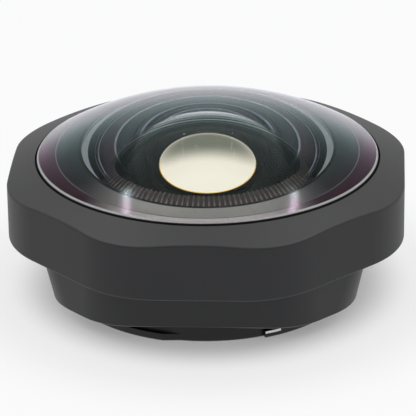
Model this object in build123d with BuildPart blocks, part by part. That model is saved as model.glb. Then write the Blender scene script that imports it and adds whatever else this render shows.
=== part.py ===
from build123d import *
import os
from math import atan, cos, degrees, radians, sin, sqrt

os.makedirs("parts", exist_ok=True)

# All sizes are in millimetres. The origin is the centre of the foot, +Z points out of the front
# glass and -Y is the side that faces the viewer.

# Front housing
across_flats = 46.0
front_corner_radius = 11.5
front_wall_height = 6.85
front_bevel_slope = 0.386
edge_round = 0.3
pocket_wall = 2.84
pocket_floor_thickness = 1.6
pocket_floor_gap = 0.25
collar_wall = 1.4
collar_drop = 2.35

# Rear housing
rear_housing_height = 5.95
housing_step = 4.2
rear_corner_reach = 5.2
rear_flat_taper = 2.5
rear_corner_taper = 2.0
rear_top_corner_radius = 6.0
rear_foot_corner_radius = 7.6
rear_foot_chamfer = 0.2
spigot_height = 1.5
spigot_wall = 1.45
spigot_setback = 0.15

# Mount ring with its bayonet lugs
mount_height = 2.2
mount_bore_margin = 1.45
mount_ring_width = 4.2
lug_count = 4
lug_step = 0.5
lug_thickness = 0.9
lug_angle = 50.0
lug_lead_angle = 7.0
first_lug_angle = 50.0
foot_chamfer = 0.15

# White index mark on the last lug
index_width = 1.95
index_height = 0.28
index_depth = 0.2
index_inset = 0.3
index_top_margin = 0.05

# Front glass
dome_height = 5.53
dome_edge_lift = 0.245
front_edge_thickness = 3.28
front_centre_thickness = 2.32
front_rim_width = 6.9
front_flange_width = 3.5
front_step_height = 1.14
front_edge_bevel = 0.12

# Second glass
second_gap = 2.7
second_front_depth = 3.6
second_centre_thickness = 1.07
second_hollow_share = 0.7632
second_rim_width = 2.2
second_edge_bevel = 0.15

# Third glass
third_gap = 1.38
third_front_depth = 4.476
third_centre_thickness = 7.6
third_edge_margin = 1.2
third_seat_width = 2.4

# Rear glass
rear_glass_thickness = 1.0
rear_seat_width = 0.9
rear_glass_depth = 0.295

# Barrel and the rings in it
stop_thickness = 1.54
stop_flare = 2.8
barrel_wall = 0.55
barrel_foot_wall = 0.95
barrel_foot_margin = 0.1
flange_thickness = 0.8
flange_land = 0.35
shim_thickness = 0.1
rear_spacer_height = 0.4
rear_ring_height = 0.8
rear_ring_width = 0.5
spanner_slot_width = 1.0
spanner_slot_depth = 0.4
retaining_ring_width = 0.8
retaining_lip = 0.1
retaining_lip_thickness = 0.25
retaining_ring_slope = 0.8
tooth_count = 140
tooth_depth = 0.12
tooth_width = 0.39
baffle_height = 0.8
baffle_top_gap = 0.06
funnel_width = 0.1
funnel_drop = 0.7

# Seals
gasket_thickness = 0.25
gasket_margin = 0.1
glass_gap = 0.26
edge_seal_drop = 0.7
barrel_seal_section = 0.9
barrel_seal_room = 0.46
housing_seal_section = 0.6
mount_seal_width = 0.55
mount_seal_height = 0.65

# Screws
screw_count = 4
housing_screw_radius = 0.8
housing_screw_head_radius = 1.2
housing_screw_head_height = 0.9
housing_screw_grip = 2.2
screw_column_radius = 1.75
screw_column_gap = 0.25
mount_screw_radius = 0.7
mount_screw_head_radius = 1.25
hole_bottom_gap = 0.2
hole_floor = 0.1
head_sink = 0.05
hex_share = 0.5

# Click stop that holds the mount when it is turned home
detent_angle = 45.0
detent_wall = 1.1
detent_nose_radius = 0.7
detent_shoulder_radius = 0.9
detent_shoulder_height = 1.2
detent_floor = 0.9
detent_protrusion = 0.65
detent_spigot_radius = 0.4
detent_spigot_height = 0.6
detent_screw_height = 1.15
detent_screw_sink = 0.1
spring_turns = 5
spring_wire_radius = 0.12

# Clearances
running_clearance = 0.05
thread_clearance = 0.03
fit_clearance = 0.05


# Curve of a spherical cap that has the given depth at the given distance from its axis
def cap_curve(radius, depth):
    return (radius**2 + depth**2) / (2 * depth)


# Depth of a spherical cap of the given curve at the given distance from its axis
def sagitta(curve, radius):
    return curve - sqrt(curve**2 - radius**2)


# Point on a spherical cap, as distance from the axis and height
def cap_point(apex, curve, radius):
    return (radius, apex - sagitta(curve, radius))


# Radii, from the front housing inwards: the glasses and the barrel that holds them
pocket_radius = across_flats / 2 - pocket_wall
glass_radius = pocket_radius - glass_gap
glass_body_radius = glass_radius - front_flange_width
front_hollow_radius = glass_radius - front_rim_width
funnel_radius = front_hollow_radius - funnel_width
ring_outer = funnel_radius - fit_clearance
barrel_bore = ring_outer - retaining_ring_width
second_radius = barrel_bore - fit_clearance
second_hollow_radius = second_radius - second_rim_width
third_radius = second_hollow_radius - third_edge_margin
stop_radius = third_radius - third_seat_width
rear_glass_radius = stop_radius + stop_flare + rear_seat_width
foot_bore = rear_glass_radius + fit_clearance
barrel_foot_radius = foot_bore + barrel_foot_wall
barrel_radius = barrel_bore + barrel_wall
flange_radius = front_hollow_radius + flange_land

# Radii of what the barrel sits in
collar_bore = barrel_radius + fit_clearance
collar_radius = collar_bore + collar_wall
flange_bore = flange_radius + fit_clearance
floor_opening = barrel_foot_radius + fit_clearance

# Heights of the front glass, from the foot up
seat_z = mount_height
seam_z = seat_z + rear_housing_height
wall_top_z = seam_z + front_wall_height
rim_z = wall_top_z + front_bevel_slope * pocket_wall
dome_edge_z = rim_z + dome_edge_lift
apex_z = dome_edge_z + dome_height
flat_z = dome_edge_z - front_edge_thickness
ledge_z = flat_z + front_step_height
ledge_floor_z = ledge_z - gasket_thickness
pocket_floor_z = flat_z - pocket_floor_gap
web_z = pocket_floor_z - pocket_floor_thickness

# Curves and places of the glasses, from the front down
dome_curve = cap_curve(glass_radius, dome_height)
first_rear_z = apex_z - front_centre_thickness
front_hollow_curve = cap_curve(front_hollow_radius, first_rear_z - flat_z)
second_front_z = first_rear_z - second_gap
second_front_curve = cap_curve(second_radius, second_front_depth)
second_rear_z = second_front_z - second_centre_thickness
second_hollow_depth = second_hollow_share * second_hollow_radius
second_rear_curve = cap_curve(second_hollow_radius, second_hollow_depth)
second_rim_z = second_rear_z - second_hollow_depth
second_edge = cap_point(second_front_z, second_front_curve, second_radius - second_edge_bevel)
third_front_z = second_rear_z - third_gap
third_front_curve = cap_curve(third_radius, third_front_depth)
third_rear_z = third_front_z - third_centre_thickness
stop_bottom_z = third_rear_z - stop_thickness
rear_glass_top_z = stop_bottom_z - rear_spacer_height
rear_glass_bottom_z = rear_glass_top_z - rear_glass_thickness
rear_land = rear_glass_radius - rear_ring_width
rear_glass_curve = cap_curve(rear_land, rear_glass_depth)

# Heights of the barrel and of the floor under it
rear_ring_bottom_z = rear_glass_bottom_z - rear_ring_height
barrel_bottom_z = rear_ring_bottom_z - barrel_foot_margin
flange_top_z = flat_z - baffle_height
flange_bottom_z = flange_top_z - flange_thickness
collar_top_z = flange_bottom_z - shim_thickness
collar_bottom_z = collar_top_z - collar_drop
floor_z = stop_bottom_z - barrel_seal_section - barrel_seal_room
rear_floor_thickness = floor_z - seat_z
mount_screw_depth = rear_floor_thickness - hole_bottom_gap - hole_floor

# Joint between the two housings
housing_screw_circle = barrel_radius + screw_column_gap + screw_column_radius
cavity_radius = housing_screw_circle + screw_column_radius - spigot_setback
spigot_inner_radius = housing_screw_circle + screw_column_radius + spigot_setback
spigot_radius = spigot_inner_radius + spigot_wall
socket_radius = spigot_radius + fit_clearance

# Outline of the rear housing
rear_top_across_flats = across_flats - 2 * housing_step
rear_top_across_corners = rear_top_across_flats + rear_corner_reach
rear_foot_across_flats = rear_top_across_flats - rear_flat_taper
rear_foot_across_corners = rear_top_across_corners - rear_corner_taper

# Mount ring radii
mount_bore_radius = floor_opening + mount_bore_margin
mount_neck_radius = mount_bore_radius + mount_ring_width
lug_radius = mount_neck_radius + lug_step
mount_screw_circle = (mount_bore_radius + mount_neck_radius) / 2
lug_pitch = 360.0 / lug_count
mount_screw_angle = 180.0 / screw_count

# Click stop places
detent_bore = detent_shoulder_radius + running_clearance
detent_circle = cavity_radius + detent_wall + detent_bore
detent_x = detent_circle * cos(radians(detent_angle))
detent_y = detent_circle * sin(radians(detent_angle))
detent_ledge_z = seat_z + detent_floor
detent_shoulder_z = detent_ledge_z + detent_shoulder_height
detent_screw_top_z = seam_z - detent_screw_sink
detent_screw_bottom_z = detent_screw_top_z - detent_screw_height
detent_axis = Axis((detent_x, detent_y, 0), (0, 0, 1))
detent_section = Plane(origin=(detent_x, detent_y, 0), x_dir=(1, 0, 0), z_dir=(0, -1, 0))


# Horizontal plane at a height
def level(height):
    return Plane.XY.offset(height)


# Horizontal plane at a height, centred on the click stop
def detent_level(height):
    return Plane(origin=(detent_x, detent_y, height))


# Face of a ring between two angles
def ring_sector(inner, outer, middle, sweep):
    with BuildSketch() as sector:
        with BuildLine():
            far = CenterArc((0, 0), outer, middle - sweep / 2, sweep)
            near = CenterArc((0, 0), inner, middle - sweep / 2, sweep)
            Line(far @ 0, near @ 0)
            Line(far @ 1, near @ 1)
        make_face()
    return sector.sketch


# Face of a bayonet lug: square at one end and running out into the neck at the other
def lug_face(middle):
    start = middle - lug_angle / 2
    run_out = start + lug_angle + lug_lead_angle
    with BuildSketch() as lug:
        with BuildLine():
            far = CenterArc((0, 0), lug_radius, start, lug_angle)
            near = CenterArc((0, 0), mount_bore_radius, start, lug_angle + lug_lead_angle)
            neck_x = mount_neck_radius * cos(radians(run_out))
            neck_y = mount_neck_radius * sin(radians(run_out))
            Line(far @ 0, near @ 0)
            Polyline(far @ 1, (neck_x, neck_y), near @ 1)
        make_face()
    return lug.sketch


# Square with its corners cut off and rounded, the outline of the rear housing
def rounded_square(across, corners, radius):
    with BuildSketch() as outline:
        Rectangle(across, across)
        Rectangle(corners, corners, rotation=45, mode=Mode.INTERSECT)
        fillet(outline.vertices(), radius)
    return outline.sketch


# Front housing: an octagonal shell with a sloping front and the glass seat
with BuildPart() as front_housing:
    with BuildSketch(level(seam_z)):
        octagon = RegularPolygon(across_flats / 2, 8, major_radius=False, rotation=22.5)
        fillet(octagon.vertices(), front_corner_radius)
    extrude(amount=rim_z - seam_z)
    bevel_reach = across_flats * 0.55
    with BuildSketch(Plane.XZ):
        with BuildLine():
            Polyline(
                (0, seam_z),
                (bevel_reach, seam_z),
                (bevel_reach, rim_z - front_bevel_slope * (bevel_reach - pocket_radius)),
                (pocket_radius, rim_z),
                (0, rim_z),
                close=True,
            )
        make_face()
    revolve(axis=Axis.Z, mode=Mode.INTERSECT)
    top_edges = front_housing.faces().filter_by(GeomType.CONE).edges()
    outer_edges = [edge for edge in top_edges if edge.center().Z < wall_top_z + edge_round]
    fillet(outer_edges, edge_round)
    bottom_edges = front_housing.faces().sort_by(Axis.Z)[0].edges()
    fillet(bottom_edges, edge_round)
    with BuildSketch(Plane.XZ):
        with BuildLine():
            Polyline(
                (0, rim_z + 1),
                (pocket_radius, rim_z + 1),
                (pocket_radius, ledge_floor_z),
                (glass_body_radius + fit_clearance, ledge_floor_z),
                (glass_body_radius + fit_clearance, pocket_floor_z),
                (flange_bore, pocket_floor_z),
                (flange_bore, collar_top_z),
                (collar_bore, collar_top_z),
                (collar_bore, collar_bottom_z),
                (collar_radius, collar_bottom_z),
                (collar_radius, web_z),
                (socket_radius, web_z),
                (socket_radius, seam_z - 1),
                (0, seam_z - 1),
                close=True,
            )
        make_face()
    revolve(axis=Axis.Z, mode=Mode.SUBTRACT)
    with BuildSketch(level(seam_z)):
        with PolarLocations(housing_screw_circle, screw_count):
            Circle(screw_column_radius)
    extrude(amount=web_z - seam_z)
    with BuildSketch(level(seam_z)):
        with PolarLocations(housing_screw_circle, screw_count):
            Circle(housing_screw_radius + thread_clearance)
    extrude(amount=housing_screw_grip + hole_bottom_gap, mode=Mode.SUBTRACT)
front_housing.part.label = "front_housing"

# Rear housing: a tapered shell with a floor, screw columns and the click stop's bore
with BuildPart() as rear_housing:
    with BuildSketch(level(seat_z)):
        add(rounded_square(rear_foot_across_flats, rear_foot_across_corners, rear_foot_corner_radius))
    with BuildSketch(level(seam_z)):
        add(rounded_square(rear_top_across_flats, rear_top_across_corners, rear_top_corner_radius))
    loft(ruled=True)
    foot_edges = rear_housing.faces().sort_by(Axis.Z)[0].edges()
    chamfer(foot_edges, rear_foot_chamfer)
    with BuildSketch(level(seam_z)):
        Circle(spigot_radius)
        Circle(spigot_inner_radius, mode=Mode.SUBTRACT)
    extrude(amount=spigot_height)
    with BuildSketch(level(floor_z)):
        Circle(cavity_radius)
        with PolarLocations(housing_screw_circle, screw_count):
            Circle(screw_column_radius, mode=Mode.SUBTRACT)
    extrude(amount=seam_z - floor_z, mode=Mode.SUBTRACT)
    with BuildSketch(level(seat_z)):
        Circle(floor_opening)
    extrude(amount=rear_floor_thickness, mode=Mode.SUBTRACT)
    groove_z = seam_z + spigot_height / 2
    with BuildSketch(level(groove_z - housing_seal_section / 2 - thread_clearance)):
        Circle(socket_radius)
        Circle(spigot_radius - housing_seal_section, mode=Mode.SUBTRACT)
    extrude(amount=housing_seal_section + 2 * thread_clearance, mode=Mode.SUBTRACT)
    with BuildSketch(level(seat_z)):
        with PolarLocations(housing_screw_circle, screw_count):
            Circle(housing_screw_head_radius + 2 * running_clearance)
    extrude(amount=housing_screw_head_height + head_sink, mode=Mode.SUBTRACT)
    with BuildSketch(level(seat_z)):
        with PolarLocations(housing_screw_circle, screw_count):
            Circle(housing_screw_radius + 2 * running_clearance)
    extrude(amount=rear_housing_height, mode=Mode.SUBTRACT)
    with BuildSketch(level(seat_z)):
        with PolarLocations(mount_screw_circle, screw_count, start_angle=mount_screw_angle):
            Circle(mount_screw_radius + thread_clearance)
    extrude(amount=mount_screw_depth + hole_bottom_gap, mode=Mode.SUBTRACT)
    with BuildSketch(detent_level(detent_ledge_z)):
        Circle(detent_bore)
    extrude(amount=seam_z - detent_ledge_z, mode=Mode.SUBTRACT)
    with BuildSketch(detent_level(seat_z)):
        Circle(detent_nose_radius + running_clearance)
    extrude(amount=detent_floor, mode=Mode.SUBTRACT)
rear_housing.part.label = "rear_housing"

# Mount ring: a plain neck with bayonet lugs round its foot
with BuildPart() as mount_ring:
    with BuildSketch(level(0)):
        Circle(mount_neck_radius)
        for lug in range(lug_count):
            add(lug_face(first_lug_angle + lug * lug_pitch))
        Circle(mount_bore_radius, mode=Mode.SUBTRACT)
    extrude(amount=lug_thickness)
    foot_loops = mount_ring.faces().sort_by(Axis.Z)[0].edges()
    chamfer(foot_loops, foot_chamfer)
    with BuildSketch(level(lug_thickness)):
        Circle(mount_neck_radius)
        Circle(mount_bore_radius, mode=Mode.SUBTRACT)
    extrude(amount=mount_height - lug_thickness)
    with BuildSketch(level(mount_height - mount_seal_height)):
        Circle(mount_bore_radius + mount_seal_width + 2 * fit_clearance)
    extrude(amount=mount_seal_height, mode=Mode.SUBTRACT)
    with BuildSketch(level(0)):
        with PolarLocations(mount_screw_circle, screw_count, start_angle=mount_screw_angle):
            Circle(mount_screw_radius + running_clearance)
    extrude(amount=mount_height, mode=Mode.SUBTRACT)
    with BuildSketch(level(0)):
        with PolarLocations(mount_screw_circle, screw_count, start_angle=mount_screw_angle):
            Circle(mount_screw_head_radius + head_sink + running_clearance)
    extrude(amount=mount_screw_head_radius - mount_screw_radius + head_sink, taper=45, mode=Mode.SUBTRACT)
    index_middle = index_inset + degrees(index_width / 2 / lug_radius)
    index_angle = first_lug_angle - lug_pitch - lug_angle / 2 + index_middle
    index_z = lug_thickness - index_top_margin - index_height
    with BuildSketch(level(index_z)):
        mark_sweep = degrees(index_width / lug_radius)
        add(ring_sector(lug_radius - index_depth, lug_radius + index_depth, index_angle, mark_sweep))
    extrude(amount=index_height, mode=Mode.SUBTRACT)
mount_ring.part.label = "mount_ring"

# Index mark: a white bar let into the edge of the last lug
with BuildPart() as index_mark:
    with BuildSketch(level(index_z)):
        add(ring_sector(lug_radius - index_depth, lug_radius, index_angle, mark_sweep))
    extrude(amount=index_height)
index_mark.part.label = "index_mark"

# Front glass: a domed meniscus with a flange round its body and a flat rim round its hollow
with BuildPart() as front_lens_element:
    dome_edge = cap_point(apex_z, dome_curve, glass_radius - front_edge_bevel)
    with BuildSketch(Plane.XZ):
        with BuildLine():
            dome_middle = cap_point(apex_z, dome_curve, glass_radius / 2)
            hollow_middle = cap_point(first_rear_z, front_hollow_curve, front_hollow_radius / 2)
            ThreePointArc((0, apex_z), dome_middle, dome_edge)
            Polyline(
                dome_edge,
                (glass_radius, dome_edge_z - front_edge_bevel),
                (glass_radius, ledge_z),
                (glass_body_radius, ledge_z),
                (glass_body_radius, flat_z),
                (front_hollow_radius, flat_z),
            )
            ThreePointArc((front_hollow_radius, flat_z), hollow_middle, (0, first_rear_z))
            Line((0, first_rear_z), (0, apex_z))
        make_face()
    revolve(axis=Axis.Z)
front_lens_element.part.label = "front_lens_element"

# Second glass: a deep meniscus held by its rim in the barrel
with BuildPart() as second_lens_element:
    with BuildSketch(Plane.XZ):
        with BuildLine():
            front_middle = cap_point(second_front_z, second_front_curve, second_radius / 2)
            rear_middle = cap_point(second_rear_z, second_rear_curve, second_hollow_radius / 2)
            ThreePointArc((0, second_front_z), front_middle, second_edge)
            Polyline(
                second_edge,
                (second_radius, second_edge[1] - second_edge_bevel),
                (second_radius, second_rim_z),
                (second_hollow_radius, second_rim_z),
            )
            ThreePointArc((second_hollow_radius, second_rim_z), rear_middle, (0, second_rear_z))
            Line((0, second_rear_z), (0, second_front_z))
        make_face()
    revolve(axis=Axis.Z)
second_lens_element.part.label = "second_lens_element"

# Third glass: domed in front and flat behind, on the shelf round the stop
with BuildPart() as third_lens_element:
    third_edge = cap_point(third_front_z, third_front_curve, third_radius)
    with BuildSketch(Plane.XZ):
        with BuildLine():
            third_middle = cap_point(third_front_z, third_front_curve, third_radius / 2)
            ThreePointArc((0, third_front_z), third_middle, third_edge)
            Polyline(third_edge, (third_radius, third_rear_z), (0, third_rear_z), (0, third_front_z))
        make_face()
    revolve(axis=Axis.Z)
third_lens_element.part.label = "third_lens_element"

# Rear glass: flat in front and slightly domed behind
with BuildPart() as rear_lens_element:
    rear_apex_z = rear_glass_bottom_z - rear_glass_depth
    with BuildSketch(Plane.XZ):
        with BuildLine():
            rear_sag = sagitta(rear_glass_curve, rear_land / 2)
            Polyline(
                (0, rear_apex_z),
                (0, rear_glass_top_z),
                (rear_glass_radius, rear_glass_top_z),
                (rear_glass_radius, rear_glass_bottom_z),
                (rear_land, rear_glass_bottom_z),
            )
            ThreePointArc(
                (rear_land, rear_glass_bottom_z),
                (rear_land / 2, rear_apex_z + rear_sag),
                (0, rear_apex_z),
            )
        make_face()
    revolve(axis=Axis.Z)
rear_lens_element.part.label = "rear_lens_element"

# Barrel: a stepped tube that holds the three inner glasses
with BuildPart() as inner_barrel:
    with BuildSketch(Plane.XZ):
        with BuildLine():
            Polyline(
                (barrel_bore, flange_top_z),
                (flange_radius, flange_top_z),
                (flange_radius, flange_bottom_z),
                (barrel_radius, flange_bottom_z),
                (barrel_radius, stop_bottom_z),
                (barrel_foot_radius, stop_bottom_z),
                (barrel_foot_radius, barrel_bottom_z),
                (foot_bore, barrel_bottom_z),
                (foot_bore, stop_bottom_z),
                (stop_radius + stop_flare, stop_bottom_z),
                (stop_radius, third_rear_z),
                (barrel_bore, third_rear_z),
                close=True,
            )
        make_face()
    revolve(axis=Axis.Z)
inner_barrel.part.label = "inner_barrel"

# Retaining ring: a lipped ring over the second glass with fine radial teeth on its face
with BuildPart() as inner_retaining_ring:
    lip_radius = second_edge[0] - retaining_lip
    lip_underside = cap_point(second_front_z, second_front_curve, lip_radius)[1] + thread_clearance
    lip_z = lip_underside + retaining_lip_thickness
    ring_edge_z = lip_z - retaining_ring_slope * (ring_outer - lip_radius)
    with BuildSketch(Plane.XZ):
        with BuildLine():
            Polyline(
                (barrel_bore, flange_top_z),
                (ring_outer, flange_top_z),
                (ring_outer, ring_edge_z),
                (lip_radius, lip_z),
                (lip_radius, lip_underside),
                (second_edge[0], second_edge[1] + thread_clearance),
                (barrel_bore, second_edge[1] - second_edge_bevel + thread_clearance),
                close=True,
            )
        make_face()
    revolve(axis=Axis.Z)
    tooth_length = 2 * (ring_outer - lip_radius)
    tooth_middle = (ring_outer + lip_radius) / 2
    tooth_z = (lip_z + ring_edge_z) / 2
    tilt = degrees(atan(retaining_ring_slope))
    with Locations(level(tooth_z)):
        with PolarLocations(tooth_middle, tooth_count):
            Box(tooth_length, tooth_width, 2 * tooth_depth, rotation=(0, tilt, 0), mode=Mode.SUBTRACT)
inner_retaining_ring.part.label = "inner_retaining_ring"

# Light baffle: a funnel-shaped black ring between the barrel's flange and the front glass
with BuildPart() as light_baffle:
    baffle_top_z = flat_z - baffle_top_gap
    with BuildSketch(Plane.XZ):
        with BuildLine():
            Polyline(
                (funnel_radius, flange_top_z),
                (flange_radius, flange_top_z),
                (flange_radius, baffle_top_z),
                (front_hollow_radius, baffle_top_z),
                (funnel_radius, baffle_top_z - funnel_drop),
                close=True,
            )
        make_face()
    revolve(axis=Axis.Z)
light_baffle.part.label = "light_baffle"

# Shim: a thin ring that sets the height of the barrel in the front housing
with BuildPart() as barrel_shim:
    with BuildSketch(level(collar_top_z)):
        Circle(flange_radius)
        Circle(collar_bore, mode=Mode.SUBTRACT)
    extrude(amount=shim_thickness)
barrel_shim.part.label = "barrel_shim"

# Spacer: it centres the third glass and carries the rim of the second
with BuildPart() as element_spacer:
    with BuildSketch(level(third_rear_z)):
        Circle(second_radius)
        Circle(third_radius + fit_clearance, mode=Mode.SUBTRACT)
    extrude(amount=second_rim_z - third_rear_z)
element_spacer.part.label = "element_spacer"

# Rear spacer: it keeps the rear glass clear of the stop
with BuildPart() as rear_spacer:
    with BuildSketch(level(rear_glass_top_z)):
        Circle(rear_glass_radius)
        Circle(stop_radius + stop_flare, mode=Mode.SUBTRACT)
    extrude(amount=rear_spacer_height)
rear_spacer.part.label = "rear_spacer"

# Rear retaining ring: it holds the rear glass and has two spanner slots
with BuildPart() as rear_retaining_ring:
    with BuildSketch(level(rear_ring_bottom_z)):
        Circle(rear_glass_radius)
        Circle(rear_land, mode=Mode.SUBTRACT)
    extrude(amount=rear_ring_height)
    with BuildSketch(level(rear_ring_bottom_z)):
        Rectangle(3 * rear_glass_radius, spanner_slot_width)
    extrude(amount=spanner_slot_depth, mode=Mode.SUBTRACT)
rear_retaining_ring.part.label = "rear_retaining_ring"

# Gasket that the flange of the front glass is bedded on
with BuildPart() as glass_seat_gasket:
    with BuildSketch(level(ledge_floor_z)):
        Circle(glass_radius)
        Circle(glass_body_radius + gasket_margin, mode=Mode.SUBTRACT)
    extrude(amount=gasket_thickness)
glass_seat_gasket.part.label = "glass_seat_gasket"

# Seal in the narrow gap round the front glass
with BuildPart() as glass_edge_seal:
    with BuildSketch(level(ledge_floor_z)):
        Circle(pocket_radius - thread_clearance)
        Circle(glass_radius + thread_clearance, mode=Mode.SUBTRACT)
    extrude(amount=rim_z - edge_seal_drop - ledge_floor_z)
glass_edge_seal.part.label = "glass_edge_seal"

# O-ring between the barrel and the floor of the rear housing
with BuildPart() as barrel_seal:
    seal_half = barrel_seal_section / 2
    with BuildSketch(Plane.XZ):
        with Locations((barrel_foot_radius + thread_clearance + seal_half, floor_z + seal_half)):
            Circle(seal_half)
    revolve(axis=Axis.Z)
barrel_seal.part.label = "barrel_seal"

# O-ring in the joint between the two housings
with BuildPart() as housing_seal:
    ring_half = housing_seal_section / 2
    with BuildSketch(Plane.XZ):
        with Locations((socket_radius - thread_clearance - ring_half, groove_z)):
            Circle(ring_half)
    revolve(axis=Axis.Z)
housing_seal.part.label = "housing_seal"

# Flat seal in the corner between the mount ring and the rear housing
with BuildPart() as mount_seal:
    with BuildSketch(level(mount_height - mount_seal_height)):
        Circle(mount_bore_radius + mount_seal_width + fit_clearance)
        Circle(mount_bore_radius + fit_clearance, mode=Mode.SUBTRACT)
    extrude(amount=mount_seal_height)
mount_seal.part.label = "mount_seal"

# Four screws that pull the two housings together, with hexagon sockets
with BuildPart() as housing_screws:
    head_z = seat_z + head_sink
    shank_z = head_z + housing_screw_head_height
    with BuildSketch(level(head_z)):
        with PolarLocations(housing_screw_circle, screw_count):
            Circle(housing_screw_head_radius)
    extrude(amount=housing_screw_head_height)
    with BuildSketch(level(shank_z)):
        with PolarLocations(housing_screw_circle, screw_count):
            Circle(housing_screw_radius)
    extrude(amount=seam_z + housing_screw_grip - shank_z)
    with BuildSketch(level(head_z)):
        with PolarLocations(housing_screw_circle, screw_count):
            RegularPolygon(housing_screw_head_radius * hex_share, 6)
    extrude(amount=housing_screw_head_height * hex_share, mode=Mode.SUBTRACT)
housing_screws.part.label = "housing_screws"

# Four countersunk screws that hold the mount ring to the floor of the rear housing
with BuildPart() as mount_screws:
    with BuildSketch(level(head_sink)):
        with PolarLocations(mount_screw_circle, screw_count, start_angle=mount_screw_angle):
            Circle(mount_screw_head_radius)
    extrude(amount=mount_screw_head_radius - mount_screw_radius, taper=45)
    with BuildSketch(level(head_sink)):
        with PolarLocations(mount_screw_circle, screw_count, start_angle=mount_screw_angle):
            Circle(mount_screw_radius)
    extrude(amount=seat_z + mount_screw_depth - head_sink)
    with BuildSketch(level(head_sink)):
        with PolarLocations(mount_screw_circle, screw_count, start_angle=mount_screw_angle):
            RegularPolygon(mount_screw_radius * hex_share, 6)
    extrude(amount=mount_screw_head_radius * hex_share, mode=Mode.SUBTRACT)
mount_screws.part.label = "mount_screws"

# Click stop plunger: a domed nose below a shoulder, with a small spigot for its spring
with BuildPart() as detent_plunger:
    nose_tip_z = seat_z - detent_protrusion
    dome_start_z = nose_tip_z + detent_nose_radius * 0.6
    nose_curve = (detent_nose_radius**2 + (dome_start_z - nose_tip_z) ** 2) / (
        2 * (dome_start_z - nose_tip_z)
    )
    nose_half = detent_nose_radius / 2
    with BuildSketch(detent_section):
        with BuildLine():
            nose_middle = (nose_half, nose_tip_z + sagitta(nose_curve, nose_half))
            ThreePointArc((0, nose_tip_z), nose_middle, (detent_nose_radius, dome_start_z))
            Polyline(
                (detent_nose_radius, dome_start_z),
                (detent_nose_radius, detent_ledge_z),
                (detent_shoulder_radius, detent_ledge_z),
                (detent_shoulder_radius, detent_shoulder_z),
                (detent_spigot_radius, detent_shoulder_z),
                (detent_spigot_radius, detent_shoulder_z + detent_spigot_height),
                (0, detent_shoulder_z + detent_spigot_height),
                (0, nose_tip_z),
            )
        make_face()
    revolve(axis=detent_axis)
detent_plunger.part.label = "detent_plunger"

# Click stop spring: a coil between the plunger's shoulder and the closing screw
with BuildPart() as detent_spring:
    spring_radius = detent_shoulder_radius - spring_wire_radius - running_clearance
    spring_bottom_z = detent_shoulder_z + spring_wire_radius
    spring_height = detent_screw_bottom_z - detent_shoulder_z - 2 * spring_wire_radius
    with BuildLine():
        coil = Helix(
            pitch=spring_height / spring_turns,
            height=spring_height,
            radius=spring_radius,
            center=(detent_x, detent_y, spring_bottom_z),
        )
    with BuildSketch(Plane(origin=coil @ 0, z_dir=coil % 0)):
        Circle(spring_wire_radius)
    sweep()
detent_spring.part.label = "detent_spring"

# Click stop screw: a headless screw with a hexagon socket that closes the bore
with BuildPart() as detent_screw:
    with BuildSketch(detent_level(detent_screw_bottom_z)):
        Circle(detent_bore - thread_clearance)
    extrude(amount=detent_screw_height)
    with BuildSketch(detent_level(detent_screw_top_z)):
        RegularPolygon(detent_shoulder_radius * hex_share, 6)
    extrude(amount=-detent_screw_height * hex_share, mode=Mode.SUBTRACT)
detent_screw.part.label = "detent_screw"

sub_parts = [
    front_housing,
    rear_housing,
    mount_ring,
    index_mark,
    front_lens_element,
    second_lens_element,
    third_lens_element,
    rear_lens_element,
    inner_barrel,
    inner_retaining_ring,
    light_baffle,
    barrel_shim,
    element_spacer,
    rear_spacer,
    rear_retaining_ring,
    glass_seat_gasket,
    glass_edge_seal,
    barrel_seal,
    housing_seal,
    mount_seal,
    housing_screws,
    mount_screws,
    detent_plunger,
    detent_spring,
    detent_screw,
]
for piece in sub_parts:
    export_step(piece.part, f"parts/{piece.part.label}.step")
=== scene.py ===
import math

import bpy
from mathutils import Matrix, Vector


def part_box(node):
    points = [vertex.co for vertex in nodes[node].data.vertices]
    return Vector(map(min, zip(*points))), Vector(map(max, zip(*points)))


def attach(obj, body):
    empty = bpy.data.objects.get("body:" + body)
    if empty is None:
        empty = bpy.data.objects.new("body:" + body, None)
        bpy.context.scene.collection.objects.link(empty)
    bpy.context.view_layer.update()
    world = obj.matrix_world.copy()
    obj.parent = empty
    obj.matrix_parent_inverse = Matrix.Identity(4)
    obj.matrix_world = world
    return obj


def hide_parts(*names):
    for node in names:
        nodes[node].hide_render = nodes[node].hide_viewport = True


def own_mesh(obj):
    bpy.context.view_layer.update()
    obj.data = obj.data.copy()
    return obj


# A wide-angle conversion lens for a small camera, standing on its mount in a light tent.
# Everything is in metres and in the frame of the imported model.
mm = 0.001
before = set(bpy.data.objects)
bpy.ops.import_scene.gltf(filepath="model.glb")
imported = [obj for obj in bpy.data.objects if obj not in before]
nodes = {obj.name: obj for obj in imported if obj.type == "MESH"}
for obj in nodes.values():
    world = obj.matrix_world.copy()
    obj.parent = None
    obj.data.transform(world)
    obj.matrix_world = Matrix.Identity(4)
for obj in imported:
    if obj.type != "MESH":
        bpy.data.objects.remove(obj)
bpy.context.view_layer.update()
print("frame loaded with", len(nodes), "nodes")


# Shader sockets that can be added and multiplied like numbers
class Signal:
    def __init__(self, bench, socket):
        self.bench = bench
        self.socket = socket

    def maths(self, operation, *others):
        values = dict(enumerate((self,) + others))
        return self.bench.add("ShaderNodeMath", {"operation": operation}, values)

    def __add__(self, other):
        return self.maths("ADD", other)

    def __radd__(self, other):
        return self.maths("ADD", other)

    def __sub__(self, other):
        return self.maths("SUBTRACT", other)

    def __rsub__(self, other):
        return (self * -1.0) + other

    def __mul__(self, other):
        return self.maths("MULTIPLY", other)

    def __rmul__(self, other):
        return self.maths("MULTIPLY", other)

    def __truediv__(self, other):
        return self.maths("DIVIDE", other)

    def __pow__(self, other):
        return self.maths("POWER", other)


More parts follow.
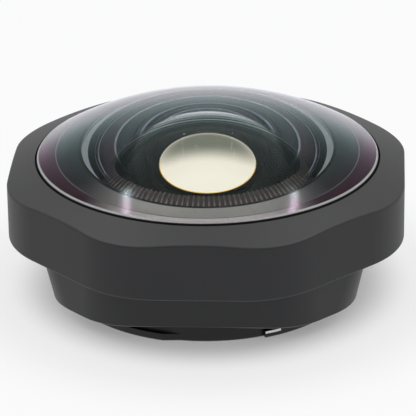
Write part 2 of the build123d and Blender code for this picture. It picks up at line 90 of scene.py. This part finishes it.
# The node tree of one material or of the world
class Bench:
    def __init__(self, owner):
        owner.use_nodes = True
        self.tree = owner.node_tree
        self.tree.nodes.clear()

    # Settings come first, then the values or links of the sockets, by name or number
    def add(self, kind, settings=None, sockets=None, out=0):
        node = self.tree.nodes.new(kind)
        for name, value in (settings or {}).items():
            setattr(node, name, value)
        for name, value in (sockets or {}).items():
            socket = node.inputs[name]
            if isinstance(value, Signal):
                self.tree.links.new(value.socket, socket)
            else:
                socket.default_value = value
        return Signal(self, node.outputs[out])

    def place(self):
        return self.add("ShaderNodeTexCoord", out="Object")

    def axes(self, vector):
        split = self.add("ShaderNodeSeparateXYZ", {}, {0: vector})
        found = split.socket.node.outputs
        return [Signal(self, found[i]) for i in range(3)]

    def noise(self, vector, size, detail=2.0, roughness=0.5):
        sockets = {"Vector": vector, "Scale": 1 / size, "Detail": detail, "Roughness": roughness}
        return self.add("ShaderNodeTexNoise", {}, sockets)

    # Smooth step from 0 to 1 between two values
    def step(self, value, low, high):
        sockets = {"Value": value, "From Min": low, "From Max": high}
        settings = {"interpolation_type": "SMOOTHSTEP"}
        return self.add("ShaderNodeMapRange", settings, sockets)

    def blend(self, amount, first, second):
        settings = {"data_type": "RGBA"}
        return self.add("ShaderNodeMix", settings, {0: amount, 6: first, 7: second}, out=2)

    def radius(self, x, y):
        return (x * x + y * y) ** 0.5

    # Wave from 0 to 1 that goes on by rate radians as the distance grows by 1
    def rings(self, distance, rate):
        return (distance * rate).maths("SINE") * 0.5 + 0.5

    # Roughness that a noise moves up or down by this much at most
    def uneven(self, roughness, noise, swing):
        return roughness - swing + noise * (2 * swing)

    def bump(self, height, strength, depth):
        sockets = {"Height": height, "Strength": strength, "Distance": depth}
        return self.add("ShaderNodeBump", {}, sockets)

    def mixShaders(self, amount, first, second):
        return self.add("ShaderNodeMixShader", {}, {0: amount, 1: first, 2: second})

    def glow(self, colour):
        return self.add("ShaderNodeEmission", {}, {"Color": colour, "Strength": 1.0})

    def close(self, shader, kind="ShaderNodeOutputMaterial"):
        node = self.tree.nodes.new(kind)
        self.tree.links.new(shader.socket, node.inputs["Surface"])

    def closePrincipled(self, sockets):
        self.close(self.add("ShaderNodeBsdfPrincipled", {}, sockets))


def grey(value):
    return (value, value, value, 1.0)


def newMaterial(name):
    material = bpy.data.materials.new(name)
    return material, Bench(material)


# Camera, at the photograph's viewing angle: its angles are in degrees, and lens and sensor in
# millimetres, as Blender has them
viewpoint = {
    "lens": 266.48,
    "sensor": 36.0,
    "distance": 362.34 * mm,
    "turn": 3.405,
    "elevation": 24.083,
    "roll": 0.758,
    "aimSideways": -0.023 * mm,
    "aimHeight": 9.30 * mm,
    "nearest": 0.01,
    "furthest": 20,
}


def buildCamera():
    turn, rise, roll = (math.radians(viewpoint[k]) for k in ("turn", "elevation", "roll"))
    right = Vector((math.cos(turn), math.sin(turn), 0))
    level = math.cos(rise)
    ahead = Vector((-math.sin(turn) * level, math.cos(turn) * level, -math.sin(rise)))
    up = right.cross(ahead)
    sideways = right * math.cos(roll) - up * math.sin(roll)
    upwards = right * math.sin(roll) + up * math.cos(roll)
    aim = right * viewpoint["aimSideways"] + Vector((0, 0, viewpoint["aimHeight"]))
    data = bpy.data.cameras.new("studioCamera")
    data.lens = viewpoint["lens"]
    data.sensor_width = viewpoint["sensor"]
    data.sensor_fit = "HORIZONTAL"
    data.clip_start = viewpoint["nearest"]
    data.clip_end = viewpoint["furthest"]
    camera = bpy.data.objects.new("studioCamera", data)
    bpy.context.scene.collection.objects.link(camera)
    turned = Matrix((sideways, upwards, -ahead)).transposed()
    camera.matrix_world = Matrix.Translation(aim - ahead * viewpoint["distance"]) @ turned.to_4x4()
    bpy.context.scene.camera = camera


buildCamera()
print("camera placed")


# Anodised shells: a fine fleck over a slow cloud
shellFinish = {
    "colour": (0.021, 0.0215, 0.0232, 1),
    "pale": (0.031, 0.0315, 0.0335, 1),
    "grain": 0.11 * mm,
    "grainDetail": 3.0,
    "grainRoughness": 0.6,
    "cloud": 4.0 * mm,
    "fleck": (0.35, 0.7),
    "fleckTint": 0.45,
    "cloudTint": 0.4,
    "roughness": 0.5,
    "swing": 0.05,
    "relief": 0.16,
    "depth": 0.012 * mm,
    "shine": 0.32,
}
ringFinish = dict(
    shellFinish,
    colour=(0.006, 0.006, 0.007, 1),
    pale=(0.011, 0.011, 0.012, 1),
    roughness=0.42,
)


def anodised(name, look):
    material, bench = newMaterial(name)
    spot = bench.place()
    grain = bench.noise(spot, look["grain"], look["grainDetail"], look["grainRoughness"])
    cloud = bench.noise(spot, look["cloud"])
    fleck = bench.step(grain, *look["fleck"])
    tint = fleck * look["fleckTint"] + cloud * look["cloudTint"]
    sockets = {
        "Base Color": bench.blend(tint, look["colour"], look["pale"]),
        "Roughness": bench.uneven(look["roughness"], grain, look["swing"]),
        "Normal": bench.bump(grain, look["relief"], look["depth"]),
        "Specular IOR Level": look["shine"],
    }
    bench.closePrincipled(sockets)
    return material


shellBlack = anodised("shellBlack", shellFinish)
ringBlack = anodised("ringBlack", ringFinish)


# Turned metal: fine rings round the axis, which run on over the sloping and upright faces
barrelFinish = {
    "colour": (0.006, 0.006, 0.006, 1),
    "pale": (0.014, 0.013, 0.012, 1),
    "pitch": 0.22 * mm,
    "climb": 0.73,
    "grain": 0.25 * mm,
    "ringTint": 0.35,
    "grainTint": 0.5,
    "ringRelief": 0.6,
    "grainRelief": 0.4,
    "relief": 0.25,
    "depth": 0.006 * mm,
    "roughness": 0.45,
    "swing": 0.06,
    "metallic": 0.0,
    "shine": 0.4,
}
baffleFinish = dict(
    barrelFinish,
    colour=(0.03, 0.031, 0.026, 1),
    pale=(0.05, 0.05, 0.043, 1),
    pitch=0.16 * mm,
    roughness=0.4,
    shine=0.5,
)
brassFinish = dict(
    barrelFinish,
    colour=(0.6, 0.43, 0.18, 1),
    pale=(0.75, 0.58, 0.3, 1),
    pitch=0.1 * mm,
    roughness=0.3,
    metallic=1.0,
    shine=0.5,
)
screwFinish = dict(
    brassFinish,
    colour=(0.05, 0.05, 0.052, 1),
    pale=(0.11, 0.11, 0.115, 1),
    pitch=0.12 * mm,
    roughness=0.32,
)
springFinish = dict(
    brassFinish,
    colour=(0.35, 0.35, 0.36, 1),
    pale=(0.5, 0.5, 0.51, 1),
    roughness=0.25,
)


def turned(name, look):
    material, bench = newMaterial(name)
    spot = bench.place()
    x, y, z = bench.axes(spot)
    along = (bench.radius(x, y) + z * look["climb"]) / look["pitch"]
    wave = bench.rings(along, 2 * math.pi)
    grain = bench.noise(spot, look["grain"])
    tint = wave * look["ringTint"] + grain * look["grainTint"]
    height = wave * look["ringRelief"] + grain * look["grainRelief"]
    sockets = {
        "Base Color": bench.blend(tint, look["colour"], look["pale"]),
        "Roughness": bench.uneven(look["roughness"], grain, look["swing"]),
        "Metallic": look["metallic"],
        "Normal": bench.bump(height, look["relief"], look["depth"]),
        "Specular IOR Level": look["shine"],
    }
    bench.closePrincipled(sockets)
    return material


barrelBlack = turned("barrelBlack", barrelFinish)
baffleBlack = turned("baffleBlack", baffleFinish)
shimBrass = turned("shimBrass", brassFinish)
darkSteel = turned("darkSteel", screwFinish)
springSteel = turned("springSteel", springFinish)


# Rubber, ink, paint and ground glass: patches of a second colour. The white mark and the bare
# ground glass also glow in their own colour, though they are no lamps: painted light.
rubberFinish = {
    "colour": grey(0.008),
    "worn": grey(0.016),
    "patch": 0.5 * mm,
    "patchDetail": 3.0,
    "patches": (0.4, 0.75),
    "roughness": 0.7,
    "swing": 0.05,
    "relief": 0.2,
    "depth": 0.01 * mm,
    "shine": 0.3,
    "paintedGlow": 0.0,
}
inkFinish = dict(
    rubberFinish,
    colour=(0.006, 0.006, 0.007, 1),
    worn=(0.010, 0.010, 0.011, 1),
    patch=0.8 * mm,
    roughness=0.65,
)
# The white mark glows a little: painted light.
markFinish = dict(
    rubberFinish,
    colour=grey(0.88),
    worn=(0.72, 0.72, 0.71, 1),
    patch=0.3 * mm,
    roughness=0.5,
    paintedGlow=0.3,
)
groundFinish = dict(
    rubberFinish,
    colour=(0.35, 0.35, 0.345, 1),
    worn=(0.5, 0.5, 0.49, 1),
    patch=0.15 * mm,
    roughness=0.4,
)
# The bare ground glass glows a little: painted light.
bareFinish = dict(
    groundFinish,
    colour=(0.80, 0.84, 0.82, 1),
    worn=(0.88, 0.91, 0.89, 1),
    roughness=0.5,
    paintedGlow=0.09,
)
faintFinish = dict(groundFinish, colour=grey(0.18), worn=grey(0.26), roughness=0.5)


def patchy(name, look):
    material, bench = newMaterial(name)
    patch = bench.noise(bench.place(), look["patch"], look["patchDetail"])
    worn = bench.step(patch, *look["patches"])
    sockets = {
        "Base Color": bench.blend(worn, look["colour"], look["worn"]),
        "Roughness": bench.uneven(look["roughness"], patch, look["swing"]),
        "Normal": bench.bump(patch, look["relief"], look["depth"]),
        "Specular IOR Level": look["shine"],
        "Emission Color": look["colour"],
        "Emission Strength": look["paintedGlow"],
    }
    bench.closePrincipled(sockets)
    return material


sealRubber = patchy("sealRubber", rubberFinish)
edgeInk = patchy("edgeInk", inkFinish)
markWhite = patchy("markWhite", markFinish)
groundGlass = patchy("groundGlass", groundFinish)
bareGround = patchy("bareGround", bareFinish)
faintGround = patchy("faintGround", faintFinish)


# Ring with radial teeth: the ridges are pale, a painted highlight, and the grooves between them
# are black, painted shade. Ridges at the back and at the inner edge keep only a part of the pale
# colour, so the front is lighter as painted light.
toothFinish = {
    "teeth": 140,
    "groove": 0.35,
    "blur": 0.06,
    "shift": 1000.5,  # keeps the count of teeth above zero, with a groove at angle zero
    "paintedFrontLight": (0.3, 0.9),
    "paintedLightBackShare": 0.25,
    "band": (12.2 * mm, 12.6 * mm),
    "innerShare": 0.35,
    "colour": (0.045, 0.031, 0.029, 1),
    "pale": (0.26, 0.21, 0.2, 1),
    "grain": 0.3 * mm,
    "grainLeast": 0.75,
    "grainTint": 0.5,
    "roughness": 0.4,
    "swing": 0.05,
    "relief": 0.2,
    "depth": 0.006 * mm,
    "shine": 0.5,
}


def toothed(name, look):
    material, bench = newMaterial(name)
    spot = bench.place()
    x, y = bench.axes(spot)[:2]
    angle = y.maths("ARCTAN2", x)
    phase = (angle * (look["teeth"] / (2 * math.pi)) + look["shift"]).maths("FRACT") - 0.5
    away = phase.maths("ABSOLUTE")  # 0 in the middle of a groove and 0.5 on a ridge
    # Pale ridges are a painted highlight and black grooves painted shade; less pale at the back as
    # painted light.
    ridge = bench.step(away, look["groove"] - look["blur"], look["groove"] + look["blur"])
    paintedFrontLight = bench.step(y * -1.0 / bench.radius(x, y), *look["paintedFrontLight"])
    outer = bench.step(bench.radius(x, y), *look["band"])
    ridge = ridge * (look["paintedLightBackShare"] + paintedFrontLight * (1 - look["paintedLightBackShare"]))
    ridge = ridge * (look["innerShare"] + outer * (1 - look["innerShare"]))
    grain = bench.noise(spot, look["grain"])
    tint = ridge * (look["grainLeast"] + grain * look["grainTint"])
    sockets = {
        "Base Color": bench.blend(tint, look["colour"], look["pale"]),
        "Roughness": bench.uneven(look["roughness"], grain, look["swing"]),
        "Normal": bench.bump(grain, look["relief"], look["depth"]),
        "Specular IOR Level": look["shine"],
    }
    bench.closePrincipled(sockets)
    return material


toothBlack = toothed("toothBlack", toothFinish)
print("metal, ink and rubber finishes made")

finishes = {
    "front_housing": shellBlack,
    "rear_housing": shellBlack,
    "mount_ring": ringBlack,
    "index_mark": markWhite,
    "inner_barrel": barrelBlack,
    "inner_retaining_ring": toothBlack,
    "light_baffle": baffleBlack,
    "element_spacer": barrelBlack,
    "rear_spacer": barrelBlack,
    "rear_retaining_ring": barrelBlack,
    "barrel_shim": shimBrass,
    "glass_seat_gasket": sealRubber,
    "glass_edge_seal": sealRubber,
    "barrel_seal": sealRubber,
    "housing_seal": sealRubber,
    "mount_seal": sealRubber,
    "housing_screws": darkSteel,
    "mount_screws": darkSteel,
    "detent_screw": darkSteel,
    "detent_plunger": darkSteel,
}
for name, finish in finishes.items():
    for place in nodes[name].material_slots:
        place.material = finish


# Coated glass: the coating takes most of the reflection away until the view is nearly along the
# surface. Its colour goes from the middle's to the edge's across a band, and turns pale at
# grazing view. The haze softens the lamps' reflections near the front edge only.
coating = {
    "least": 0.105,
    "most": 1.16,
    "rise": (0.07, 0.33),
    "glint": (0.74, 0.99, 1.0, 1),
    "lilac": (1.0, 0.72, 0.97, 1),
    "graze": (0.94, 0.94, 1.0, 1),
    "band": (16.5 * mm, 19.4 * mm),
    "grazing": (0.15, 0.38),
    "blur": 0.0,
    "haze": 0.0,
    "hazeFacing": (0.55, 0.7),
    "hazeBand": (14.5 * mm, 15.5 * mm),
}


def coatedGlass(name, look):
    material, bench = newMaterial(name)
    x, y = bench.axes(bench.place())[:2]
    plain = bench.add("ShaderNodeFresnel", {}, {"IOR": look["index"]})
    rise = look["most"] - look["least"]
    share = plain * (look["least"] + bench.step(plain, *look["rise"]) * rise)
    across = bench.radius(x, y)
    front = bench.step(y * -1.0 / across, *look["hazeFacing"])
    hazy = front * bench.step(across, *look["hazeBand"])
    tints = []
    for tint in ("glint", "lilac", "graze"):
        sockets = {"Color": look[tint], "Roughness": hazy * look["haze"] + look["blur"]}
        tints.append(bench.add("ShaderNodeBsdfAnisotropic", {}, sockets))
    mirror = bench.mixShaders(bench.step(across, *look["band"]), tints[0], tints[1])
    mirror = bench.mixShaders(bench.step(plain, *look["grazing"]), mirror, tints[2])
    clear = {"Color": look["colour"], "Roughness": 0.0, "IOR": look["index"]}
    glass = bench.add("ShaderNodeBsdfRefraction", {}, clear)
    bench.close(bench.mixShaders(share, glass, mirror))
    return material


# Blackened rim seen through the glass, finely grooved round the axis. Its colour turns pale
# towards the front, a painted sheen, and where a glow share is set it glows there too, as painted
# light.
def groovedRim(name, look):
    material, bench = newMaterial(name)
    spot = bench.place()
    x, y = bench.axes(spot)[:2]
    across = bench.radius(x, y)
    wave = bench.rings(across, 2 * math.pi / look["pitch"])
    grain = bench.noise(spot, look["grain"])
    # Paler and glowing towards the front: painted sheen and painted light.
    paintedFrontLight = bench.step(y * -1.0 / across, *look["paintedFrontLight"])
    tint = paintedFrontLight * (look["grainLeast"] + grain * look["grainTint"])
    height = wave * look["ringRelief"] + grain * look["grainRelief"]
    sockets = {
        "Base Color": bench.blend(tint, look["colour"], look["pale"]),
        "Roughness": bench.uneven(look["roughness"], grain, look["swing"]),
        "Metallic": look["metallic"],
        "Normal": bench.bump(height, look["relief"], look["depth"]),
        "Specular IOR Level": look["shine"],
        "Emission Color": bench.blend(paintedFrontLight, grey(0.0), look["pale"]),
        "Emission Strength": look["paintedGlow"],
    }
    bench.closePrincipled(sockets)
    return material


# Glass pieces, each turned from its half outline
turning = {
    "merge": 0.0004 * mm,
    "smooth": 25.0,
}


def clearSelection():
    if bpy.context.object and bpy.context.object.mode != "OBJECT":
        bpy.ops.object.mode_set(mode="OBJECT")
    bpy.ops.object.select_all(action="DESELECT")


def spinOutline(name, outline, turns):
    clearSelection()
    bpy.ops.mesh.primitive_plane_add(size=mm, location=(0, 0, 0))
    piece = bpy.context.object
    piece.name = name
    piece.data.name = name
    bpy.ops.object.mode_set(mode="EDIT")
    bpy.ops.mesh.select_all(action="SELECT")
    bpy.ops.mesh.merge(type="CENTER")  # one point is left, at the origin
    here = Vector((outline[0][0], 0, outline[0][1]))
    bpy.ops.transform.translate(value=here)
    for across, height in outline[1:]:
        there = Vector((across, 0, height))
        bpy.ops.mesh.extrude_region_move(TRANSFORM_OT_translate={"value": there - here})
        here = there
    bpy.ops.mesh.select_all(action="SELECT")
    bpy.ops.mesh.spin(steps=turns, angle=2 * math.pi, center=(0, 0, 0), axis=(0, 0, 1))
    bpy.ops.mesh.select_all(action="SELECT")
    bpy.ops.mesh.remove_doubles(threshold=turning["merge"])
    bpy.ops.mesh.normals_make_consistent(inside=False)
    bpy.ops.object.mode_set(mode="OBJECT")
    bpy.ops.object.shade_smooth_by_angle(angle=math.radians(turning["smooth"]))
    clearSelection()
    return piece


# Points of a spherical cap from one radius to another
def capPoints(top, reach, depth, start, end, count):
    curve = (reach**2 + depth**2) / (2 * depth)
    found = []
    for i in range(count + 1):
        across = start + (end - start) * i / count
        found.append((across, top - (curve - math.sqrt(curve**2 - across**2))))
    return found


def giveFinishes(piece, parts, body="lens_body"):
    for material in parts:
        piece.data.materials.append(material)
    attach(piece, body)


# Limits for the z of a face's normal: below the first it looks down, and between minus and plus
# the second it is an upright wall
downward = -0.9
wall = 0.1


# Gives a finish to the faces that pass a test of their middle's radius and height and of their
# normal; with front below 1 only to those whose y is at most that share of their radius
def assign(piece, material, test, front=1.0):
    number = piece.data.materials.find(material.name)
    for face in piece.data.polygons:
        middle = face.center
        across = math.hypot(middle.x, middle.y)
        if middle.y <= front * across and test(across, middle.z, face.normal):
            face.material_index = number


frontGlass = {
    "edge": 3.28 * mm,
    "middle": 2.32 * mm,
    "hollow": 13.0 * mm,
    "flange": 3.5 * mm,
    "step": 1.14 * mm,
    "bevel": 0.06 * mm,
    "ground": 0.14 * mm,
    "corner": 0.13 * mm,
    "lip": 0.33 * mm,
    "strip": 0.2 * mm,
    "topPoints": 60,
    "rimPoints": 2,
    "underPoints": 48,
    "turns": 256,
    "chamferFront": -0.55,
    "stripFront": -0.75,
}
frontGlassLook = dict(
    coating,
    index=1.79,
    blur=0.04,
    haze=0.078,
    colour=(0.99, 0.995, 0.985, 1),
)
# The rim and the ledge are paler towards the front as a painted sheen; the ledge also glows there
# as painted light.
rimLook = {
    "colour": (0.05, 0.055, 0.058, 1),
    "pale": (0.37, 0.37, 0.325, 1),
    "paintedFrontLight": (0.45, 1.0),
    "grain": 0.3 * mm,
    "grainLeast": 0.8,
    "grainTint": 0.4,
    "pitch": 0.15 * mm,
    "ringRelief": 0.85,
    "grainRelief": 0.15,
    "relief": 1.0,
    "depth": 0.022 * mm,
    "roughness": 0.3,
    "swing": 0.05,
    "metallic": 0.9,
    "shine": 0.5,
    "paintedGlow": 0.0,
}
ledgeLook = dict(
    rimLook,
    colour=(0.045, 0.018, 0.026, 1),
    pale=(0.6, 0.57, 0.56, 1),
    paintedFrontLight=(0.66, 1.0),
    metallic=0.2,
    paintedGlow=0.17,
)


def buildFrontGlass():
    low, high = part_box("front_lens_element")
    radius, flat, apex = high.x, low.z, high.z
    shoulder = flat + frontGlass["edge"]
    depth = apex - shoulder
    bevel = frontGlass["bevel"]
    ground = radius - bevel - frontGlass["ground"]
    hollow = frontGlass["hollow"]
    body = radius - frontGlass["flange"]
    ledge = flat + frontGlass["step"]
    under = apex - frontGlass["middle"]
    corner = frontGlass["corner"]
    inside = radius - corner
    lip = hollow + frontGlass["lip"]
    strip = inside - frontGlass["strip"]
    topCount, rimCount = frontGlass["topPoints"], frontGlass["rimPoints"]
    outline = capPoints(apex, radius, depth, 0, ground, topCount)
    outline += capPoints(apex, radius, depth, ground, radius - bevel, rimCount)[1:]
    outline += [(radius, shoulder - bevel), (radius, ledge + corner), (inside, ledge)]
    outline += [(strip, ledge), (body + corner, ledge), (body, ledge), (body, flat)]
    outline += [(lip, flat), (hollow, flat)]
    outline += capPoints(under, hollow, under - flat, hollow, 0, frontGlass["underPoints"])[1:]
    piece = spinOutline("frontGlassDome", outline, frontGlass["turns"])
    glass = coatedGlass("frontGlassCoated", frontGlassLook)
    rim = groovedRim("frontGlassRim", rimLook)
    shelf = groovedRim("frontGlassLedge", ledgeLook)
    parts = [glass, groundGlass, edgeInk, rim, shelf, bareGround, faintGround]
    giveFinishes(piece, parts)
    assign(piece, groundGlass, lambda r, z, n: r > ground and z > shoulder - bevel and n.z > wall)
    assign(piece, edgeInk, lambda r, z, n: r > radius - bevel and n.z < wall)
    assign(piece, edgeInk, lambda r, z, n: hollow < r < lip and n.z < downward)
    assign(piece, rim, lambda r, z, n: lip < r < body and n.z < downward)
    assign(piece, shelf, lambda r, z, n: r > body + corner and n.z < downward)
    # On the front only, the chamfer and part of the strip take the ledge's finish, with its
    # painted sheen and painted light.
    chamferFront = frontGlass["chamferFront"]
    assign(piece, shelf, lambda r, z, n: r > inside and downward < n.z < -wall, chamferFront)
    assign(piece, bareGround, lambda r, z, n: z < ledge and abs(n.z) < wall)  # under the flange
    assign(piece, bareGround, lambda r, z, n: strip < r < inside and n.z < downward)
    stripFront = frontGlass["stripFront"]
    assign(piece, shelf, lambda r, z, n: strip < r < inside and n.z < downward, stripFront)
    assign(piece, faintGround, lambda r, z, n: body < r < body + corner and n.z < downward)
    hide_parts("front_lens_element")
    return piece


secondGlass = {
    "frontDepth": 3.6 * mm,
    "middle": 1.07 * mm,
    "rim": 2.2 * mm,
    "bevel": 0.15 * mm,
    "points": 56,
    "turns": 224,
}
secondGlassLook = dict(
    coating,
    index=1.66,
    least=0.1,
    glint=(0.95, 0.86, 0.8, 1),
    graze=(1.0, 0.95, 0.9, 1),
    colour=(0.995, 0.995, 0.98, 1),
)


def buildSecondGlass():
    low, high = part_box("second_lens_element")
    radius, rim, apex = high.x, low.z, high.z
    bevel = secondGlass["bevel"]
    count = secondGlass["points"]
    hollow = radius - secondGlass["rim"]
    under = apex - secondGlass["middle"]
    outline = capPoints(apex, radius, secondGlass["frontDepth"], 0, radius - bevel, count)
    corner = outline[-1][1] - bevel
    outline += [(radius, corner), (radius, rim), (hollow, rim)]
    outline += capPoints(under, hollow, under - rim, hollow, 0, count)[1:]
    piece = spinOutline("secondGlassMeniscus", outline, secondGlass["turns"])
    glass = coatedGlass("secondGlassCoated", secondGlassLook)
    giveFinishes(piece, [glass, edgeInk])
    assign(piece, edgeInk, lambda r, z, n: r > radius - bevel or (r > hollow and n.z < downward))
    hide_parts("second_lens_element")
    return piece


# The fringe is the narrow amber arc along the front edge of the pupil
thirdGlass = {
    "depth": 4.476 * mm,
    "seat": 2.4 * mm,
    "fringe": 0.14 * mm,
    "fringeFront": 0.0,
    "points": 48,
    "turns": 192,
}
thirdGlassLook = dict(coating, index=1.5, least=0.22, colour=(0.995, 0.995, 0.98, 1))
fringeLook = dict(thirdGlassLook, colour=(1.0, 0.7, 0.22, 1))


def buildThirdGlass():
    low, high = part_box("third_lens_element")
    radius, rear, apex = high.x, low.z, high.z
    clear = radius - thirdGlass["seat"]
    bright = clear - thirdGlass["fringe"]
    outline = capPoints(apex, radius, thirdGlass["depth"], 0, radius, thirdGlass["points"])
    outline += [(radius, rear), (clear, rear), (bright, rear), (0, rear)]
    piece = spinOutline("thirdGlassDome", outline, thirdGlass["turns"])
    glass = coatedGlass("thirdGlassCoated", thirdGlassLook)
    fringe = coatedGlass("thirdGlassFringe", fringeLook)
    giveFinishes(piece, [glass, edgeInk, fringe])
    assign(piece, edgeInk, lambda r, z, n: r > clear and n.z < wall)
    fringeFront = thirdGlass["fringeFront"]
    assign(piece, fringe, lambda r, z, n: bright < r < clear and n.z < downward, fringeFront)
    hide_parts("third_lens_element")
    return piece


rearGlass = {
    "land": 0.5 * mm,
    "bulge": 0.295 * mm,
    "points": 24,
    "turns": 192,
}
rearGlassLook = dict(coating, index=1.5, least=0.4, colour=(0.995, 0.995, 0.985, 1))


def buildRearGlass():
    low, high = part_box("rear_lens_element")
    radius, top = high.x, high.z
    land = radius - rearGlass["land"]
    below = low.z + rearGlass["bulge"]
    outline = [(0, top), (radius, top), (radius, below), (land, below)]
    cap = capPoints(0, land, below - low.z, land, 0, rearGlass["points"])
    outline += [(across, low.z - height) for across, height in cap[1:]]
    piece = spinOutline("rearGlass", outline, rearGlass["turns"])
    glass = coatedGlass("rearGlassCoated", rearGlassLook)
    giveFinishes(piece, [glass, edgeInk])
    assign(piece, edgeInk, lambda r, z, n: r > land and n.z < wall)
    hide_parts("rear_lens_element")
    return piece


glasses = [buildFrontGlass(), buildSecondGlass(), buildThirdGlass(), buildRearGlass()]
print("glasses turned:", ", ".join(piece.name for piece in glasses))


# Spring of the click stop, which shortens against its screw as the plunger slides in
clickSpring = {
    "wire": 0.12 * mm,
    "sides": 12,
    "turns": 5,
    "steps": 28,
    "smooth": 40.0,
    "travel": 0.6 * mm,
}


def buildSpring():
    low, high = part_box("detent_spring")
    middle = (low + high) / 2
    wire = clickSpring["wire"]
    coil = (high.x - low.x) / 2 - wire
    climb = high.z - low.z - 2 * wire
    clearSelection()
    bpy.ops.mesh.primitive_circle_add(
        vertices=clickSpring["sides"],
        radius=wire,
        location=(coil, 0, 0),
        rotation=(math.pi / 2, 0, 0),
    )
    piece = bpy.context.object
    piece.name = "clickSpring"
    piece.data.name = "clickSpring"
    bpy.ops.object.transform_apply(location=True, rotation=True, scale=True)
    bpy.ops.object.modifier_add(type="SCREW")
    screw = piece.modifiers[-1]
    screw.axis = "Z"
    screw.angle = 2 * math.pi
    screw.iterations = clickSpring["turns"]
    screw.screw_offset = climb / clickSpring["turns"]
    screw.steps = clickSpring["steps"]
    screw.render_steps = clickSpring["steps"]
    bpy.ops.object.modifier_apply(modifier=screw.name)
    bpy.ops.object.mode_set(mode="EDIT")
    bpy.ops.mesh.select_all(action="SELECT")
    bpy.ops.mesh.fill_holes(sides=0)  # closes the two ends of the wire
    bpy.ops.mesh.select_all(action="SELECT")
    bpy.ops.mesh.normals_make_consistent(inside=False)
    bpy.ops.transform.translate(value=(middle.x, middle.y, low.z + wire))
    bpy.ops.object.mode_set(mode="OBJECT")
    bpy.ops.object.shade_smooth_by_angle(angle=math.radians(clickSpring["smooth"]))
    clearSelection()
    giveFinishes(piece, [springSteel])
    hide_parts("detent_spring")
    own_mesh(piece)
    return piece


spring = buildSpring()
print("click stop spring wound:", spring.name)


# Table, light tent and the two lamp bars above it. Foot, near and far are pairs of distances from
# the axis: between each pair the level of the paper changes, as the glasses or the camera see it.
# Close to the lens the paper glows less than further out, so it stays darker there: painted shade.
studio = {
    "tableSize": 3.0,
    "tableColour": (0.86, 0.86, 0.87, 1),
    "fibreColour": grey(0.8),
    "fibreSize": 0.6 * mm,
    "fibreTint": 0.15,
    "white": (0.98, 0.98, 0.985, 1),
    "throughGlass": (0.97, 0.9, 0.83, 1),
    "gloomThrough": (0.11, 0.112, 0.08, 1),
    "throughShare": 0.95,
    "mirrorShare": 0.9,
    "underShare": 0.26,
    "nearShare": 0.46,
    "farShare": 0.2,
    "foot": (9.9 * mm, 12.2 * mm),
    "near": (17.5 * mm, 24.5 * mm),
    "far": (25 * mm, 36 * mm),
    "tentLight": 0.95,
    "frontGloom": 0.7,
    "openingTilt": 0.55,
    "opening": (0.1, 0.75),
    "barLight": 115.0,
    "barWidth": 11.5 * mm,
    "barLength": 310 * mm,
    "barHeight": 517 * mm,
    "bars": [(-231 * mm, 55 * mm), (225 * mm, 75 * mm)],
    "bounces": 20,
    "glossyBounces": 12,
}


def buildTable():
    clearSelection()
    bpy.ops.mesh.primitive_plane_add(size=studio["tableSize"], location=(0, 0, 0))
    table = bpy.context.object
    table.name = "tableTop"
    material, bench = newMaterial("tablePaper")
    x, y = bench.axes(bench.place())[:2]
    fibre = bench.noise(bench.place(), studio["fibreSize"]) * studio["fibreTint"]
    colour = bench.blend(fibre, studio["tableColour"], studio["fibreColour"])
    paper = bench.add("ShaderNodeBsdfDiffuse", {}, {"Color": colour})
    white = bench.glow(studio["white"])
    away = bench.radius(x, y)
    gloom = bench.step(away, *studio["foot"])  # the mount ring shades the paper at its foot
    cream, dim = bench.glow(studio["throughGlass"]), bench.glow(studio["gloomThrough"])
    cream = bench.mixShaders(gloom, cream, dim)
    nearby = bench.step(away, *studio["near"]) * studio["nearShare"]
    further = bench.step(away, *studio["far"]) * studio["farShare"]
    ray = bench.tree.nodes.new("ShaderNodeLightPath")
    seen = Signal(bench, ray.outputs["Is Camera Ray"])
    mirrored = Signal(bench, ray.outputs["Is Glossy Ray"])
    through = Signal(bench, ray.outputs["Is Transmission Ray"])
    # The paper near the lens glows less than further out: painted shade round the lens.
    level = seen * (studio["underShare"] + nearby + further) + mirrored * studio["mirrorShare"]
    mixed = bench.mixShaders(level, paper, white)
    bench.close(bench.mixShaders(through * studio["throughShare"], mixed, cream))
    table.data.materials.append(material)
    clearSelection()


def buildTent():
    world = bpy.data.worlds.new("lightTent")
    bpy.context.scene.world = world
    bench = Bench(world)
    direction = bench.add("ShaderNodeTexCoord", out="Generated")
    y, z = bench.axes(direction)[1:]
    towards = y * -1.0 - z * studio["openingTilt"]
    opening = bench.step(towards, *studio["opening"])  # the open side, behind the camera
    level = studio["tentLight"] * (1.0 - opening * studio["frontGloom"])
    ray = bench.tree.nodes.new("ShaderNodeLightPath")
    seen = Signal(bench, ray.outputs["Is Camera Ray"])
    strength = level * (1.0 - seen) + seen
    light = bench.add("ShaderNodeBackground", {}, {"Color": grey(1.0), "Strength": strength})
    bench.close(light, "ShaderNodeOutputWorld")


def buildBars():
    width, length = studio["barWidth"], studio["barLength"]
    for i, (x, y) in enumerate(studio["bars"]):
        data = bpy.data.lights.new("lampBar%d" % i, "AREA")
        data.shape = "RECTANGLE"
        data.size = width
        data.size_y = length
        data.energy = studio["barLight"] * math.pi * width * length
        bar = bpy.data.objects.new("lampBar%d" % i, data)
        bar.location = (x, y, studio["barHeight"])
        bar.visible_diffuse = False
        bpy.context.scene.collection.objects.link(bar)


buildTable()
buildTent()
buildBars()
scene = bpy.context.scene
scene.view_settings.view_transform = "Standard"
scene.cycles.max_bounces = studio["bounces"]
scene.cycles.transmission_bounces = studio["bounces"]
scene.cycles.glossy_bounces = studio["glossyBounces"]
print("table, tent and lamps made")
